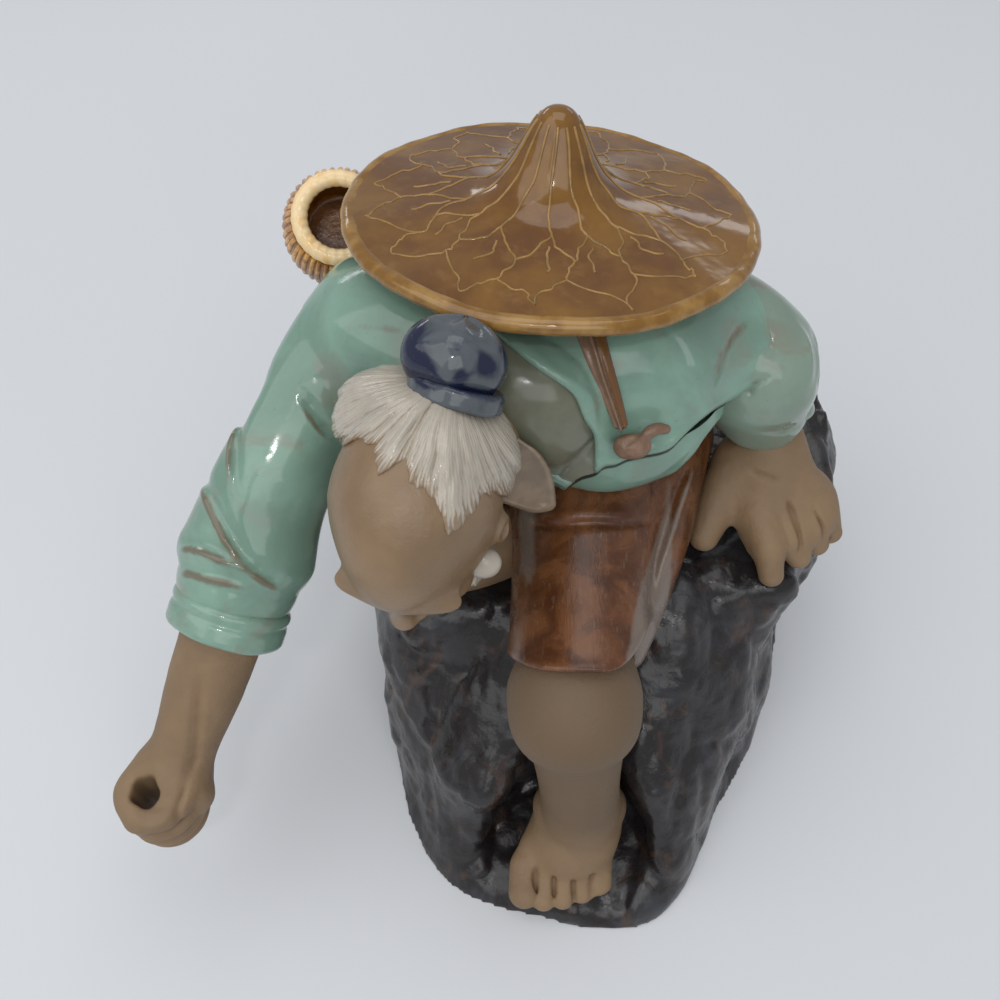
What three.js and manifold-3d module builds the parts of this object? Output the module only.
// A seated fisherman in glazed stoneware, bent low over the water, on a hollow crag.
// Every piece is a separate pressing or roll of clay, luted to its neighbours with a thin seam.
// Millimetres. +X is the figure's left, +Y its back, +Z is up, and the crag stands on z = 0.
import * as THREE from "three";
import { mergeVertices } from "three/addons/utils/BufferGeometryUtils.js";
import Module from "manifold-3d";

const wasm = await Module();
wasm.setup();

// Driving dimensions: the crag
const SEAM = 0.3; // slip seam left between two luted pieces
const SEAT_Z = 64; // top of the crag, where the figure sits
const LEDGE_Z = 6; // low ledge that carries the left foot
const CRAG_LEFT = 62; // half width of the crag on the figure's right hand
const CRAG_RIGHT = 64; // half width on the figure's left hand
const CRAG_FRONT = 98; // from the crag's middle to its foremost foot
const CRAG_BACK = 50; // from the crag's middle to its back
const CRAG_WALL = 7; // wall round the hollow underside
const CRAG_ROOF = 14; // clay left over the hollow
const LIP = 3; // height of the lip round the ledge
const CHIP = 2.4; // depth of the chipped facets
const CREST = 9; // how far the crag's edge rises beside the left arm

// Driving dimensions: the figure
const THIGH_R = 17;
const KNEE_R = 14.4;
const SHIN_R = 10.5;
const FOOT_W = 27; // across the toes
const FOOT_H = 8; // thickness of the foot at the toes
const TOE_R = 3.1;
const HEM_FLARE = 2.2; // how far the trouser leg stands off the knee
const HIP_R = 27;
const CHEST_W = 43; // half width of the robe across the shoulders
const CHEST_R = 26; // half depth of the robe there
const SLEEVE_R = 15.2;
const CUFF_T = 1.5; // how far a rolled cuff stands out
const FOREARM_R = 8.4;
const FIST_R = 8.8;
const ROD_HOLE_R = 3.2;
const PALM_R = 10;
const FINGER_R = 3.4;
const FINGER_L = 10.5;
const SKULL_W = 16.4; // half width of the skull
const SKULL_D = 21; // half depth, brow to nape
const SKULL_H = 19.5; // half height of the cranium
const HAIR_T = 2.3; // thickness of the hair over the skull
const KNOT_R = 9.4;

// Driving dimensions: the hat and the creel
const HAT_R = 45;
const HAT_RISE = 24.5; // peak above the plane of the rim
const HAT_T = 3;
const HAT_LEAN = 14; // degrees that the hat leans back
const HAT_ROLL = 2.5; // degrees that it drops to the figure's left
const RIM_R = 2; // radius of the rolled rim
const CREEL_R = 13.4;
const CREEL_H = 21;
const CREEL_WALL = 2.2;
const CREEL_MOUTH_R = 9.6;
const CREEL_RIBS = 22; // one facet of the creel for each rib

const spot = (x, y, z) => new THREE.Vector3(x, y, z);
const across = spot(1, 0, 0);
const degrees = THREE.MathUtils.degToRad;

// Places of the joints of the body, all carried by the seat and the ledge
const CRAG_MIDDLE = spot(4, 30, 0);
const hip = spot(-12, 56, SEAT_Z + HIP_R - 3);
const chest = spot(-14, 36, SEAT_Z + 48);
const nape = spot(-24, 14, SEAT_Z + 61);
const leftHip = spot(0, 40, SEAT_Z + THIGH_R + 5);
const leftKnee = spot(-7, -35, SEAT_Z + 10);
const leftAnkle = spot(-3, -45, LEDGE_Z + 19);
const ball = spot(-7, -55, LEDGE_Z + FOOT_H / 2);
const rightHip = spot(-22, 44, SEAT_Z + THIGH_R);
const rightKnee = spot(-44, 8, SEAT_Z + THIGH_R - 3);
const rightAnkle = spot(-18, 8, SEAT_Z + 8);
const rightShoulder = spot(-52, 38, SEAT_Z + 50);
const rightElbow = spot(-76, 11, SEAT_Z + 32);
const rightCuff = spot(-86, -15, SEAT_Z + 11);
const rightFist = spot(-103, -48.6, SEAT_Z - 19);
const leftShoulder = spot(18, 37, SEAT_Z + 54);
const leftElbow = spot(38, 35, SEAT_Z + 37);
const leftCuff = spot(40, 26, SEAT_Z + 26);
const leftWrist = spot(42, 25, SEAT_Z + 22);
const leftPalm = spot(45, 13, SEAT_Z + 12);
const skull = spot(-39.8, -15.6, SEAT_Z + 60);
const knot = spot(-32, 3, SEAT_Z + 80);
const hatSeat = spot(-12.6, 50, SEAT_Z + 74);
const creelFoot = spot(-62.7, 73, SEAT_Z + 45);

// The head looks down at the line and a little to its right.
const HEAD_PITCH = degrees(33);
const HEAD_YAW = degrees(13);
const headTurn = new THREE.Euler(HEAD_PITCH, 0, -HEAD_YAW, "ZYX");
const inHead = (x, y, z) => spot(x, y, z).applyEuler(headTurn).add(skull);

// Closed triangle surface from a stack of rings of equal count, with a point at each end
function skin(rings, first, last) {
  const sides = rings[0].length;
  const points = [first, ...rings.flat(), last];
  const index = [];
  for (let j = 0; j < sides; j++) {
    const next = (j + 1) % sides;
    index.push(0, 1 + next, 1 + j);
    for (let i = 0; i + 1 < rings.length; i++) {
      const low = 1 + i * sides;
      const high = low + sides;
      index.push(low + j, low + next, high + next, low + j, high + next, high + j);
    }
    const top = 1 + (rings.length - 1) * sides;
    index.push(top + j, top + next, points.length - 1);
  }
  const geometry = new THREE.BufferGeometry().setFromPoints(points);
  return solid(geometry.setIndex(index));
}

// The manifold solid of a closed three.js geometry
function solid(geometry) {
  geometry.deleteAttribute("normal");
  geometry.deleteAttribute("uv");
  const merged = mergeVertices(geometry, 1e-4);
  return new wasm.Manifold(
    new wasm.Mesh({
      numProp: 3,
      vertProperties: merged.attributes.position.array,
      triVerts: new Uint32Array(merged.index.array),
    }),
  );
}

const join = (solids) => solids.reduce((whole, next) => whole.add(next));

// A roll of clay: oval rings along a smooth curve, with domed ends.
// Each stop is [place, half width, half height], and side is the direction of the width.
// The domes stand out by bulge times the roll's radius.
function roll(stops, grow = 0, options = {}) {
  const { sides = 10, steps = 2, side = across, fold = () => 0, bulge = 1 } = options;
  const line = new THREE.CatmullRomCurve3(stops.map(([place]) => place));
  const size = new THREE.CatmullRomCurve3(stops.map(([, w, h = w]) => spot(w, h, 0)));
  const count = (stops.length - 1) * steps;
  const ringAt = (t, shrink, lift) => {
    const along = line.getTangent(t);
    const wide = side.clone().addScaledVector(along, -side.dot(along)).normalize();
    const high = along.clone().cross(wide);
    const oval = size.getPoint(t);
    const w = oval.x + grow;
    const h = oval.y + grow;
    const middle = line.getPoint(t).addScaledVector(along, lift * Math.min(w, h));
    return Array.from({ length: sides }, (_, j) => {
      const turn = (2 * Math.PI * j) / sides;
      const swell = 1 + fold(t, turn);
      return middle
        .clone()
        .addScaledVector(wide, w * shrink * swell * Math.cos(turn))
        .addScaledVector(high, h * shrink * swell * Math.sin(turn));
    });
  };
  const half = Math.SQRT1_2;
  const rings = [
    ringAt(0, half, -half * bulge),
    ...Array.from({ length: count + 1 }, (_, i) => ringAt(i / count, 1, 0)),
    ringAt(1, half, half * bulge),
  ];
  return skin(rings, ringAt(0, 0, -bulge)[0], ringAt(1, 0, bulge)[0]);
}

// A pressed lump: an ellipsoid whose surface may swell by a formula of its direction
function lump(middle, [rx, ry, rz], grow = 0, { turn, swell = () => 0, fine = 16 } = {}) {
  const geometry = new THREE.SphereGeometry(1, fine, Math.round(fine * 0.6));
  const points = geometry.attributes.position;
  for (let i = 0; i < points.count; i++) {
    const way = new THREE.Vector3().fromBufferAttribute(points, i);
    const out = swell(way);
    const size = spot(rx + grow + out, ry + grow + out, rz + grow + out);
    const place = way.clone().multiply(size);
    if (turn) place.applyEuler(turn);
    points.setXYZ(i, ...place.add(middle));
  }
  return solid(geometry);
}

// A thrown form: a closed profile of [radius, height] turned round an axis
function thrown(profile, foot, turn, sides = 30) {
  const outline = profile.map(([r, z]) => new THREE.Vector2(r, z));
  const geometry = new THREE.LatheGeometry(outline, sides);
  geometry.rotateX(Math.PI / 2);
  geometry.applyMatrix4(new THREE.Matrix4().makeRotationFromEuler(turn));
  geometry.translate(foot.x, foot.y, foot.z);
  return solid(geometry);
}

// A round rod between two places
const rod = (from, to, radius, sides = 12) => {
  const length = from.distanceTo(to);
  const way = to.clone().sub(from).normalize();
  const geometry = new THREE.CylinderGeometry(radius, radius, length, sides);
  geometry.applyQuaternion(new THREE.Quaternion().setFromUnitVectors(spot(0, 1, 0), way));
  const middle = from.clone().lerp(to, 0.5);
  geometry.translate(middle.x, middle.y, middle.z);
  return solid(geometry);
};

// The crag's outline: its radius at each level, every 30 degrees from the figure's left
const cragLevels = [
  { z: 0, reach: [0.93, 0.98, 1.08, 1, 0.98, 0.96, 1, 1.03, 1.12, 1.02, 0.86, 0.86] },
  { z: 0.2, reach: [0.94, 0.98, 1.08, 1, 0.96, 0.95, 0.98, 1.02, 1.05, 0.99, 0.84, 0.84] },
  { z: 0.5, reach: [0.95, 1.02, 1.04, 0.97, 0.96, 0.94, 0.96, 1.03, 0.98, 0.82, 0.77, 0.81] },
  { z: 0.9, reach: [0.99, 1.1, 1.02, 0.92, 0.94, 0.92, 0.95, 1, 0.62, 0.45, 0.56, 0.8] },
  { z: 1, reach: [0.95, 1.06, 0.95, 0.86, 0.88, 0.86, 0.88, 0.92, 0.53, 0.4, 0.5, 0.75] },
];

// Half width of a plain crag at a bearing, from its four driving reaches
function plainReach(bearing) {
  const side = Math.cos(bearing) > 0 ? CRAG_RIGHT : CRAG_LEFT;
  const ends = Math.sin(bearing) > 0 ? CRAG_BACK : CRAG_FRONT;
  return 1 / Math.hypot(Math.cos(bearing) / side, Math.sin(bearing) / ends);
}

// Smooth value at a bearing of a ring of twelve
function roundTwelve(ring, bearing) {
  const place = ((bearing / (2 * Math.PI)) * 12 + 12) % 12;
  const i = Math.floor(place);
  const part = (1 - Math.cos((place - i) * Math.PI)) / 2;
  return THREE.MathUtils.lerp(ring[i], ring[(i + 1) % 12], part);
}

const ridge = (x) => 2 * Math.abs(x - Math.floor(x + 0.5)) - 0.5;

// Chipped facets: ridges that lean as they climb
function chip(bearing, z) {
  const turn = bearing / (2 * Math.PI);
  return ridge(7 * turn + z / 60) + 0.7 * ridge(11 * turn - z / 45) + 0.5 * ridge(z / 24 + 3 * turn);
}

const crestAt = (bearing) => CREST * Math.max(0, Math.cos(bearing - degrees(26))) ** 9;

function crag(inset, roof, foot = 0) {
  const sides = inset ? 20 : 40;
  const height = SEAT_Z - roof;
  const level = (share) => {
    const low = cragLevels.findLast((l) => l.z <= share) ?? cragLevels[0];
    const high = cragLevels.find((l) => l.z > share) ?? low;
    const part = high === low ? 0 : (share - low.z) / (high.z - low.z);
    return (bearing) => THREE.MathUtils.lerp(
      roundTwelve(low.reach, bearing), roundTwelve(high.reach, bearing), part);
  };
  const ringAt = (share) => Array.from({ length: sides }, (_, j) => {
    const bearing = (2 * Math.PI * j) / sides;
    const z = foot + share * (height - foot);
    const reach = level(Math.min(1, (z + roof * share) / SEAT_Z))(bearing);
    const chipped = inset ? 0 : CHIP * chip(bearing, z);
    const out = plainReach(bearing) * reach + chipped - inset;
    const lift = inset ? 0 : share ** 4 * crestAt(bearing);
    return spot(out * Math.cos(bearing), out * Math.sin(bearing), z + lift).add(CRAG_MIDDLE);
  });
  const shares = inset ? [0, 0.35, 0.7, 1] : [0, 0.12, 0.26, 0.42, 0.58, 0.74, 0.89, 1];
  const middle = (z) => CRAG_MIDDLE.clone().setZ(z);
  return skin(shares.map(ringAt), middle(foot), middle(height));
}

// A pit cut from above: ovals at rising levels, each [height, half width, half depth, middle]
function pit(levels, grow) {
  const rings = levels.map(([z, w, d, y], i) => Array.from({ length: 20 }, (_, j) => {
    const turn = (2 * Math.PI * j) / 20;
    const place = spot((w + grow) * Math.cos(turn), (d + grow) * Math.sin(turn), i ? z : z - grow);
    return place.add(spot(ball.x + 1, y, 0));
  }));
  const end = ([z, , , y], down) => spot(ball.x + 1, y, z - down);
  return skin(rings, end(levels[0], grow), end(levels.at(-1), 0));
}

// The bay in front where the left leg comes down. The ledge is its dished floor, with a lip.
const bay = (grow) => join([
  pit([
    [LEDGE_Z + LIP, 24, 34, -64],
    [LEDGE_Z + 24, 21, 34, -66],
    [SEAT_Z * 0.7, 18, 34, -64],
    [SEAT_Z + 12, 20, 52, -66],
  ], grow),
  pit([[LEDGE_Z, 20, 16.5, -51.5], [LEDGE_Z + LIP + 1, 22, 18, -51.5]], grow),
]);

function cragBase() {
  const hollow = crag(CRAG_WALL, CRAG_ROOF, -1).subtract(bay(CRAG_WALL));
  return crag(0, 0).subtract(bay(0)).subtract(hollow);
}

// Bare left leg: the thigh's end inside the trouser leg, and the knee and shin down to the ankle
const leftLeg = (grow) => join([
  roll([
    [leftKnee.clone().add(spot(1, 14, 5)), KNEE_R * 0.92],
    [leftKnee.clone().add(spot(0, 2, 0)), KNEE_R],
  ], grow, { sides: 12 }),
  roll([
    [leftKnee.clone().add(spot(0, 0, -1)), KNEE_R],
    [leftKnee.clone().lerp(leftAnkle, 0.35).add(spot(0, 1, 0)), SHIN_R * 1.18],
    [leftKnee.clone().lerp(leftAnkle, 0.7), SHIN_R],
    [leftAnkle, SHIN_R * 0.98],
    [leftAnkle.clone().setZ(LEDGE_Z + 11), SHIN_R * 1.02],
  ], grow, { sides: 12 }),
]);

// Foot with five toes in a row, the great toe on the inner side
function leftFoot(grow) {
  const heel = spot(leftAnkle.x + 1, leftAnkle.y + 8, LEDGE_Z + 7.2);
  const sole = roll([
    [heel, 8.5, 7],
    [leftAnkle.clone().setZ(LEDGE_Z + 8.5), 10.5, 8.3],
    [ball.clone().setZ(LEDGE_Z + 5.6), FOOT_W / 2 - 1, 5.4],
    [ball.clone().add(spot(-0.5, -4, 0)), FOOT_W / 2 - 1, FOOT_H / 2],
  ], grow, { sides: 10 });
  const spread = FOOT_W / 2 - TOE_R * 1.15;
  const toes = [1.35, 1.02, 1, 0.94, 0.86].map((size, i) => {
    const x = ball.x - spread + (2 * spread * i) / 4;
    const reach = [7, 8.4, 8, 6.6, 4.2][i];
    const z = LEDGE_Z + TOE_R * size;
    return roll([
      [spot(x, ball.y - 1, z + 1), TOE_R * size],
      [spot(x - 0.4, ball.y - reach, z), TOE_R * size],
    ], grow, { sides: 6, steps: 1 });
  });
  return join([sole, ...toes]);
}

// Folded right leg, whose shin lies on the seat in front of its own thigh
const rightLeg = (grow) => roll([
  [rightKnee.clone().add(spot(2, -5, -4)), SHIN_R * 1.05],
  [rightKnee.clone().lerp(rightAnkle, 0.5).add(spot(-1, -4, -2)), SHIN_R],
  [rightAnkle, SHIN_R * 0.82],
], grow);

const rightFoot = (grow) => roll([
  [rightAnkle.clone().add(spot(3, 1, 0)), 7, 6],
  [rightAnkle.clone().add(spot(20, 4, -3)), 9, 4.5],
], grow, { side: spot(0, 1, 0) });

// Trousers: the seat with the left leg and the cloth that hangs beside it, and the right leg.
// The hem is cut aslant, lower in front than at the sides.
const hemWay = new THREE.Vector3(0, 1, 0.5).normalize();
const hemPlace = leftKnee.clone().add(spot(0, -1.8, 18));

const trousers = (grow) => join([
  roll([
    [leftHip.clone().add(spot(-4, 8, 3)), 26, THIGH_R + 4],
    [leftHip.clone().lerp(leftKnee, 0.45), THIGH_R + 1, THIGH_R],
    [leftHip.clone().lerp(leftKnee, 0.72), THIGH_R - 1, THIGH_R - 1],
    [leftKnee.clone().add(spot(1, -3, 1.5)), KNEE_R + HEM_FLARE],
  ], grow, { sides: 14, bulge: 0.25 }).trimByPlane(hemWay, hemWay.dot(hemPlace) - grow),
  roll([
    [spot(22, 30, SEAT_Z + 18), 10, 12],
    [spot(17, 10, SEAT_Z + 15), 8, 11],
    [spot(9, -8, SEAT_Z + 10), 6, 8],
  ], grow, { sides: 8 }),
]);

const rightThigh = (grow) => roll([
  [rightHip, THIGH_R],
  [rightHip.clone().lerp(rightKnee, 0.5).add(spot(-3, 2, 0)), THIGH_R],
  [rightKnee.clone().add(spot(0, 1, 1)), KNEE_R + HEM_FLARE, KNEE_R],
], grow, { bulge: 0.6 });

// Robe: a loft up the bent spine, with the front panel that falls over the lap
const flapTurn = new THREE.Euler(0.45, 0, 0.55);
const yokeTurn = new THREE.Euler(0, degrees(8), 0);

const robe = (grow) => join([
  roll([
    [hip.clone().add(spot(0, 6, -6)), 33, HIP_R - 2],
    [hip.clone().lerp(chest, 0.4).add(spot(0, 4, 2)), 37, HIP_R],
    [chest, CHEST_W, CHEST_R],
    [chest.clone().lerp(nape, 0.55).add(spot(0, 0, 1)), CHEST_W * 0.86, CHEST_R * 0.72],
    [nape, 19, 12],
  ], grow, { sides: 16 }),
  lump(spot(5, 20, SEAT_Z + 44), [25, 19, 15.5], grow, { turn: flapTurn, fine: 14 }),
  lump(spot(-30, 30, SEAT_Z + 57), [31, 17.5, 13.5], grow, { turn: yokeTurn, fine: 14 }),
]);

const robeHem = (grow) => lump(spot(4, 19, SEAT_Z + 39), [25.5, 19.5, 15.5], grow, {
  turn: flapTurn,
  fine: 14,
});

// Bare chest in the neck opening, and the lapel that folds over beside it
const bareChest = (grow) => lump(spot(-16, 9, SEAT_Z + 54), [12, 12, 14], grow, {
  fine: 12,
  turn: new THREE.Euler(0.6, 0, 0.2),
});

const lapel = (grow) => roll([
  [spot(-24, 4, SEAT_Z + 58), 4, 2],
  [spot(-17, -3, SEAT_Z + 51), 6, 2.2],
  [spot(-11, -3, SEAT_Z + 44), 5, 2],
], grow, { sides: 8, side: spot(0.8, 0.3, 0.5) });

// Sleeves, gathered by ripples that deepen towards the cuff
const ripple = (waves) => (t, turn) => 0.045 * t * Math.sin(waves * t * 6.28 + 1.6 * Math.sin(turn));

const rightSleeve = (grow) => roll([
  [rightShoulder, SLEEVE_R * 1.12, SLEEVE_R],
  [rightShoulder.clone().lerp(rightElbow, 0.5).add(spot(-2, 1, 1)), SLEEVE_R, SLEEVE_R],
  [rightElbow, SLEEVE_R],
  [rightElbow.clone().lerp(rightCuff, 0.5), SLEEVE_R * 1.02],
  [rightCuff.clone().lerp(rightElbow, 0.25), SLEEVE_R * 0.94],
], grow, { sides: 12, fold: ripple(2) });

const leftSleeve = (grow) => roll([
  [leftShoulder, SLEEVE_R, SLEEVE_R],
  [leftShoulder.clone().lerp(leftElbow, 0.6).add(spot(1, 0, 3)), SLEEVE_R * 0.94],
  [leftElbow, SLEEVE_R * 0.86],
  [leftCuff.clone().add(spot(0, 1, 2)), SLEEVE_R * 0.7],
], grow, { sides: 11, fold: ripple(1.5) });

// A turned-up cuff: a rounded band thrown round the end of the sleeve
function cuff(place, way, radius, width, grow) {
  const turn = new THREE.Euler().setFromQuaternion(
    new THREE.Quaternion().setFromUnitVectors(spot(0, 0, 1), way.clone().normalize()));
  const half = width / 2 + grow;
  const out = radius + CUFF_T + grow;
  const profile = [
    [0, -half], [out - 1.6, -half], [out - 0.3, -half * 0.6], [out, 0],
    [out - 0.3, half * 0.6], [out - 1.6, half], [0, half],
  ];
  return thrown(profile, place, turn, 18);
}

const rightArmWay = rightFist.clone().sub(rightElbow);
const rightCuffBand = (grow) => cuff(rightCuff, rightArmWay, SLEEVE_R * 0.8, 9, grow);
const leftArmWay = leftPalm.clone().sub(leftElbow);
const leftCuffBand = (grow) => cuff(leftCuff, leftArmWay, SLEEVE_R * 0.68, 7, grow);

const rightForearm = (grow) => roll([
  [rightCuff.clone().lerp(rightElbow, 0.15), FOREARM_R * 1.15],
  [rightCuff.clone().lerp(rightFist, 0.35), FOREARM_R * 1.08],
  [rightCuff.clone().lerp(rightFist, 0.68), FOREARM_R * 0.92],
  [rightCuff.clone().lerp(rightFist, 0.84), FOREARM_R * 0.95],
], grow);

// Fist closed round a hole for the rod, the fingers curled from the back of the hand
function rightHand(grow) {
  const palm = lump(rightFist.clone().add(spot(1, 2, 1)), [FIST_R * 0.98, FIST_R, FIST_R * 1.12], grow, { fine: 12 });
  const knuckles = [0, 1, 2, 3].map((i) => {
    const z = rightFist.z + 6.5 - 4.6 * i;
    const reach = FIST_R * [0.98, 1.06, 1.03, 0.92][i];
    const curl = [35, -10, -55, -100, -145].map(degrees);
    const stops = curl.map((a) => [
      spot(rightFist.x + reach * 0.72 * Math.cos(a), rightFist.y + reach * 0.8 * Math.sin(a), z),
      FINGER_R * 0.85,
    ]);
    return roll(stops, grow, { sides: 6, steps: 1 });
  });
  const thumb = roll([
    [rightFist.clone().add(spot(-2.5, 5.5, 6)), FINGER_R * 1.2],
    [rightFist.clone().add(spot(-6.6, -0.6, 6.6)), FINGER_R * 1.05],
    [rightFist.clone().add(spot(-3.6, -6.6, 6)), FINGER_R * 0.95],
  ], grow, { sides: 6, steps: 1 });
  const hand = join([palm, ...knuckles, thumb]);
  const hole = spot(rightFist.x - 1.8, rightFist.y - 1.6, 0);
  const below = hole.clone().setZ(rightFist.z - 30);
  const above = hole.clone().setZ(rightFist.z + 30);
  return grow ? hand : hand.subtract(rod(below, above, ROD_HOLE_R));
}

// Left hand flat on the crag: wrist, palm, four spread fingers and the thumb
function leftHand(grow) {
  const tipZ = leftPalm.z - 7;
  const palm = roll([
    [leftWrist.clone().add(spot(-1, 5, 3)), FOREARM_R * 0.95],
    [leftWrist, FOREARM_R * 1.05, FOREARM_R * 0.9],
    [leftPalm, PALM_R * 1.15, PALM_R * 0.62],
    [leftPalm.clone().add(spot(2, -5, -3)), PALM_R * 1.1, PALM_R * 0.5],
  ], grow);
  const fingers = [-74, -54, -46, -42].map((bearing, i) => {
    const way = spot(Math.cos(degrees(bearing)), Math.sin(degrees(bearing)), 0);
    const root = leftPalm.clone().add(spot(5 * i - 6, 1.6 * i - 2.5, 1 - 0.8 * i));
    const length = FINGER_L * [1.15, 0.95, 0.8, 0.6][i];
    return roll([
      [root, FINGER_R * 1.15],
      [root.clone().addScaledVector(way, length * 0.55).add(spot(0, 0, -2)), FINGER_R * 1.1],
      [root.clone().addScaledVector(way, length).setZ(tipZ), FINGER_R * 0.9],
    ], grow, { sides: 7, steps: 1 });
  });
  const thumb = roll([
    [leftPalm.clone().add(spot(-5, 4, 1)), FINGER_R * 1.3],
    [leftPalm.clone().add(spot(-11, -1, -2)), FINGER_R * 1.15],
    [leftPalm.clone().add(spot(-14.5, -7, -4)), FINGER_R * 0.95],
  ], grow, { sides: 7, steps: 1 });
  return join([palm, ...fingers, thumb]);
}

// Head: a skull with brow, sockets, nose, lips and chin as smooth swellings of one surface.
// In the head's own frame the face looks along -Y, and z runs up to the crown.
const bump = (way, x, z, wide, high) =>
  way.y < 0 ? Math.exp(-(((way.x - x) / wide) ** 2) - ((way.z - z) / high) ** 2) : 0;

function faceSwell(way) {
  const mirror = Math.abs(way.x);
  const side = spot(mirror, way.y, way.z);
  return 1.2 * bump(side, 0.3, 0.12, 0.28, 0.09)
    - 1.8 * bump(side, 0.32, -0.04, 0.15, 0.09)
    + 0.9 * bump(side, 0.32, -0.05, 0.08, 0.05)
    + 3.6 * bump(side, 0, -0.2, 0.1, 0.13)
    + 1.2 * bump(side, 0.08, -0.3, 0.1, 0.06)
    + 1.1 * bump(side, 0.45, -0.28, 0.2, 0.14)
    + 1.2 * bump(side, 0, -0.5, 0.2, 0.05)
    + 1.1 * bump(side, 0, -0.62, 0.18, 0.05)
    + 1.6 * bump(side, 0, -0.85, 0.25, 0.1);
}

function head(grow) {
  const options = { turn: headTurn, fine: 22, swell: faceSwell };
  const cranium = lump(skull, [SKULL_W, SKULL_D, SKULL_H], grow, { turn: headTurn, fine: 12 });
  const faceMiddle = inHead(0, -4, -6);
  const face = lump(faceMiddle, [SKULL_W * 0.86, SKULL_D * 0.8, SKULL_H * 1.08], grow, options);
  const ears = [-1, 1].map((hand) => lump(
    inHead(hand * (SKULL_W + 0.6), -1, -6),
    [2.2, 3.6, 5.6],
    grow,
    { turn: headTurn, fine: 8 },
  ));
  return join([cranium, face, ...ears]);
}

const neck = (grow) => roll([
  [nape.clone().add(spot(3, 6, -4)), 13, 12],
  [nape.clone().lerp(skull, 0.45).add(spot(0, 0, -5)), 11.5],
  [inHead(0, 4, -9), 11],
], grow);

// Hair: a shell over the back of the skull, combed to the figure's left, that leaves the brow bare
function hair(grow) {
  const lock = (way) => 0.35 * Math.sin(9 * Math.atan2(way.x, way.z));
  const mass = lump(
    inHead(0, 6.5, 0),
    [SKULL_W + HAIR_T, SKULL_D - 3.5, SKULL_H + HAIR_T],
    grow,
    { turn: headTurn, fine: 15, swell: lock },
  );
  const brow = lump(inHead(-12, -8, 4), [20, 21, 30], 0, { turn: headTurn, fine: 14 });
  return mass.subtract(brow);
}

const beard = (grow) => lump(inHead(0, -13, -25), [13, 6.5, 9], grow, {
  turn: headTurn,
  swell: (way) => 0.5 * Math.sin(16 * way.x) - 2.2 * Math.max(0, -way.z) * Math.abs(way.x),
  fine: 12,
});

const moustache = (hand) => (grow) => roll([
  [inHead(hand * 1.6, -20.6, -14.2), 1.5],
  [inHead(hand * 5.2, -19.4, -15.6), 1.7],
  [inHead(hand * 8.6, -16.6, -19.5), 1.1],
], grow, { sides: 6 });

const eyebrow = (hand) => (grow) => roll([
  [inHead(hand * 2.6, -20.6, -1.6), 0.9],
  [inHead(hand * 6.6, -19.6, -0.8), 1.1],
  [inHead(hand * 10.6, -16.2, -2.6), 0.8],
], grow, { sides: 6 });

// Topknot under a small cap, with the band that ties it
const knotWay = knot.clone().sub(skull);
const knotTurn = new THREE.Euler().setFromQuaternion(
  new THREE.Quaternion().setFromUnitVectors(spot(0, 0, 1), knotWay.clone().normalize()));

const knotCap = (grow) => lump(knot, [KNOT_R * 1.06, KNOT_R * 1.02, KNOT_R * 0.86], grow, {
  turn: knotTurn,
  swell: (way) => 0.35 * Math.sin(3 * Math.atan2(way.y, way.x)) * (1 - way.z * way.z),
  fine: 14,
});

function knotBand(grow) {
  const foot = knot.clone().addScaledVector(knotWay.clone().normalize(), -KNOT_R * 0.62);
  const out = KNOT_R * 0.98 + grow;
  const half = 2 + grow;
  const profile = [[0, -half], [out - 1, -half], [out, 0], [out - 1, half], [0, half]];
  return thrown(profile, foot, knotTurn, 14);
}

// Hat: a concave cone with a small rounded peak, and a rolled rim round its edge
const hatTurn = new THREE.Euler(-degrees(HAT_LEAN), degrees(HAT_ROLL), 0, "XYZ");

function hatHeight(share) {
  return HAT_RISE * (0.8 * (1 - share) ** 3 + 0.2 * (1 - share));
}

function hatLeaf(grow) {
  const shares = [0, 0.05, 0.1, 0.18, 0.3, 0.45, 0.7, 1];
  const peak = (share) => Math.max(0, 1 - share / 0.08) ** 2 * 1.4;
  const top = shares.map((s) => [s * (HAT_R - RIM_R), hatHeight(s) - peak(s) + grow]);
  const under = [0.15, 0.5, 1].map((s) => [s * (HAT_R - RIM_R), hatHeight(s) * 0.8 - HAT_T - grow]);
  const apex = [0, under[0][1] + 0.5];
  const edge = HAT_R - RIM_R - (grow ? 0 : SEAM);
  const trim = ([r, z]) => [Math.min(r, edge), z];
  const profile = [apex, ...under.map(trim), ...top.map(trim).reverse()];
  return thrown(profile, hatSeat, hatTurn);
}

function hatRim(grow) {
  const middle = spot(HAT_R - RIM_R, -HAT_T * 0.45, 0);
  const profile = Array.from({ length: 7 }, (_, i) => {
    const turn = (2 * Math.PI * (i % 6)) / 6;
    return [
      middle.x + (RIM_R + grow) * Math.cos(turn),
      middle.y + (RIM_R + grow) * 0.9 * Math.sin(turn),
    ];
  });
  return thrown(profile, hatSeat, hatTurn);
}

// Flat cord from under the rim down the left breast, tied in a knot
const hatCord = (grow) => roll([
  [spot(-8.5, 24, SEAT_Z + 78), 3, 1.4],
  [spot(-7, 17, SEAT_Z + 72.5), 3, 1.4],
  [spot(-4.1, 11.2, SEAT_Z + 69), 2.6, 1.4],
  [spot(-1.6, 7.6, SEAT_Z + 63.4), 2, 1.4],
  [spot(1.8, 4, SEAT_Z + 57), 1.5, 1.4],
], grow, { sides: 8 });

const hatCordKnot = (grow) => lump(spot(4, 1.8, SEAT_Z + 54), [4.2, 2.6, 2.8], grow, {
  fine: 10,
});

// Creel: a pot-bellied basket with ribs, a dark inside and a rolled mouth
const creelTurn = new THREE.Euler(degrees(37), degrees(6), 0);

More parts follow.
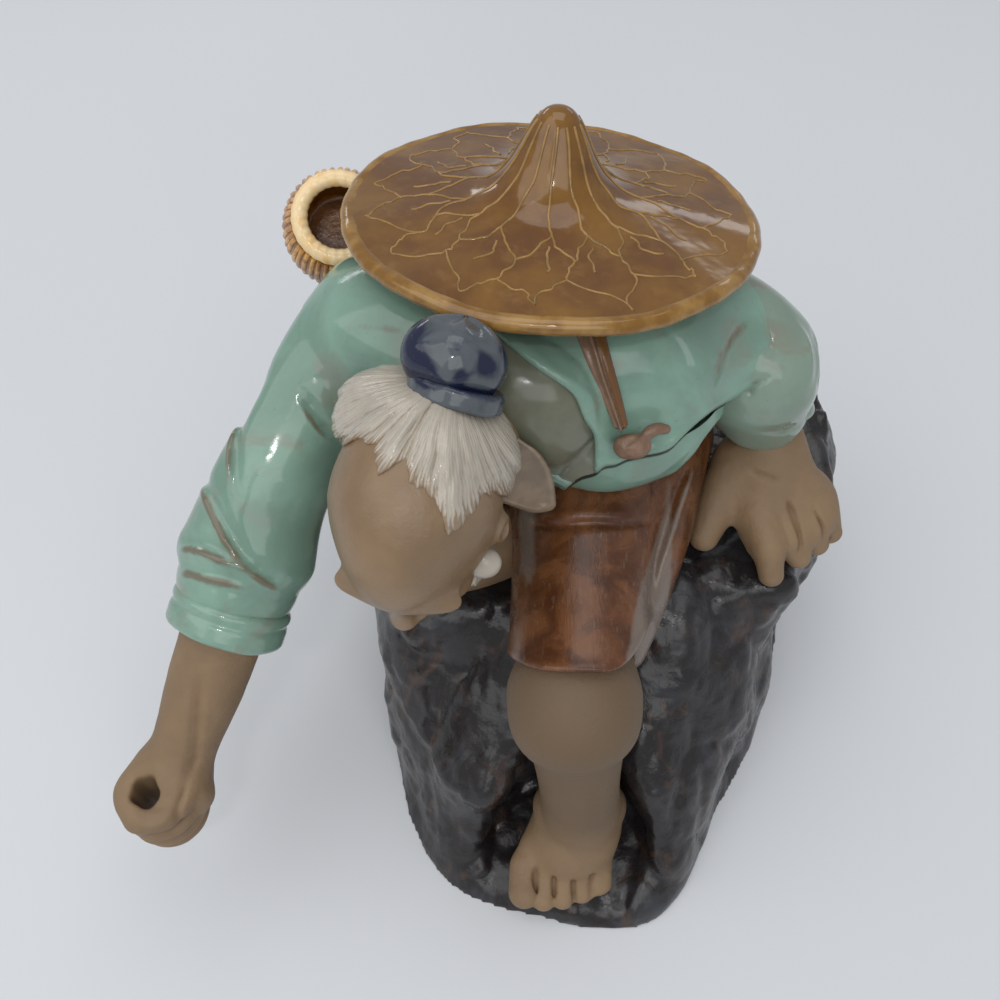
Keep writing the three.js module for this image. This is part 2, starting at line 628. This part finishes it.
function creelRadius(share) {
  const belly = Math.sin(Math.PI * Math.min(1, share * 0.82 + 0.14)) ** 0.7;
  return CREEL_MOUTH_R + (CREEL_R - CREEL_MOUTH_R) * belly;
}

function creel(grow) {
  const shares = [0, 0.08, 0.25, 0.45, 0.65, 0.85, 1];
  const outside = shares.map((s) => [creelRadius(s) - (s ? 0 : 1) + grow, s * CREEL_H - grow * (s ? 0 : 1)]);
  const inside = shares.slice(1).map((s) => [
    creelRadius(s) - CREEL_WALL,
    Math.max(s * CREEL_H, CREEL_WALL + 1),
  ]);
  const floor = CREEL_WALL + 0.6;
  const foot = [0, -grow];
  const profile = grow
    ? [foot, ...outside, [0, CREEL_H + grow]]
    : [foot, ...outside, ...inside.reverse(), [0, floor]];
  return thrown(profile, creelFoot, creelTurn, CREEL_RIBS);
}

function creelRim(grow) {
  const radius = CREEL_MOUTH_R - CREEL_WALL / 2 + 0.4;
  const lip = 1.9 + grow;
  const profile = Array.from({ length: 7 }, (_, i) => {
    const turn = (2 * Math.PI * (i % 6)) / 6;
    return [radius + lip * Math.cos(turn), CREEL_H + 1.9 + SEAM + lip * 0.9 * Math.sin(turn)];
  });
  return thrown(profile, creelFoot, creelTurn, 22);
}

// Finishes: colour, roughness
const clay = { color: 0x8f7456, roughness: 0.75 };
const celadon = { color: 0x8cc4ae, roughness: 0.12 };
const rust = { color: 0x874c22, roughness: 0.2 };
const basalt = { color: 0x2a2421, roughness: 0.25 };
const amber = { color: 0x95651f, roughness: 0.12 };
const white = { color: 0xd9d6cf, roughness: 0.2 };
const cobalt = { color: 0x33425f, roughness: 0.12 };
const straw = { color: 0xc39347, roughness: 0.3 };
const cream = { color: 0xd9c9a4, roughness: 0.3 };
const cordBrown = { color: 0x8a5527, roughness: 0.3 };

// Pieces in the order of making: each is cut back by the ones before it that it meets.
const pieces = [
  ["hat_leaf", hatLeaf, amber],
  ["hat_rim", hatRim, amber],
  ["topknot_cap", knotCap, cobalt],
  ["topknot_band", knotBand, cobalt],
  ["eyebrow_right", eyebrow(-1), white],
  ["eyebrow_left", eyebrow(1), white],
  ["moustache_right", moustache(-1), white],
  ["moustache_left", moustache(1), white],
  ["head", head, clay],
  ["hair", hair, white],
  ["beard", beard, white],
  ["neck", neck, clay],
  ["right_hand", rightHand, clay],
  ["right_forearm", rightForearm, clay],
  ["left_hand", leftHand, clay],
  ["right_cuff", rightCuffBand, celadon],
  ["left_cuff", leftCuffBand, celadon],
  ["hat_cord_knot", hatCordKnot, cordBrown],
  ["hat_cord", hatCord, cordBrown],
  ["creel_rim", creelRim, cream],
  ["creel", creel, straw],
  ["lapel", lapel, celadon],
  ["bare_chest", bareChest, clay],
  ["left_foot", leftFoot, clay],
  ["left_leg", leftLeg, clay],
  ["robe", robe, celadon],
  ["robe_hem", robeHem, celadon],
  ["right_sleeve", rightSleeve, celadon],
  ["left_sleeve", leftSleeve, celadon],
  ["right_foot", rightFoot, clay],
  ["right_leg", rightLeg, clay],
  ["trousers", trousers, rust],
  ["trousers_right_leg", rightThigh, rust],
  ["crag", cragBase, basalt],
];

const apart = (a, b) => [0, 1, 2].some((k) => a.max[k] < b.min[k] || b.max[k] < a.min[k]);
const largest = (body) =>
  body.decompose().reduce((best, next) => (next.volume() > best.volume() ? next : best));

const figure = new THREE.Group();
const made = [];
for (const [name, shape, finish] of pieces) {
  let body = shape(0);
  for (const cutter of made) {
    if (!apart(body.boundingBox(), cutter.boundingBox())) body = body.subtract(cutter);
  }
  body = largest(body);
  if (name !== "crag") made.push(shape(SEAM));
  const { vertProperties, triVerts } = body.getMesh();
  const geometry = new THREE.BufferGeometry();
  geometry.setAttribute("position", new THREE.BufferAttribute(vertProperties, 3));
  geometry.setIndex(new THREE.BufferAttribute(triVerts, 1));
  geometry.computeVertexNormals();
  const mesh = new THREE.Mesh(geometry, new THREE.MeshStandardMaterial(finish));
  mesh.name = name;
  figure.add(mesh);
}

// The object's own origin is the middle of its outline on the table.
const outline = new THREE.Box3().setFromObject(figure);
figure.position.set(-(outline.min.x + outline.max.x) / 2, -(outline.min.y + outline.max.y) / 2, 0);

export default figure;
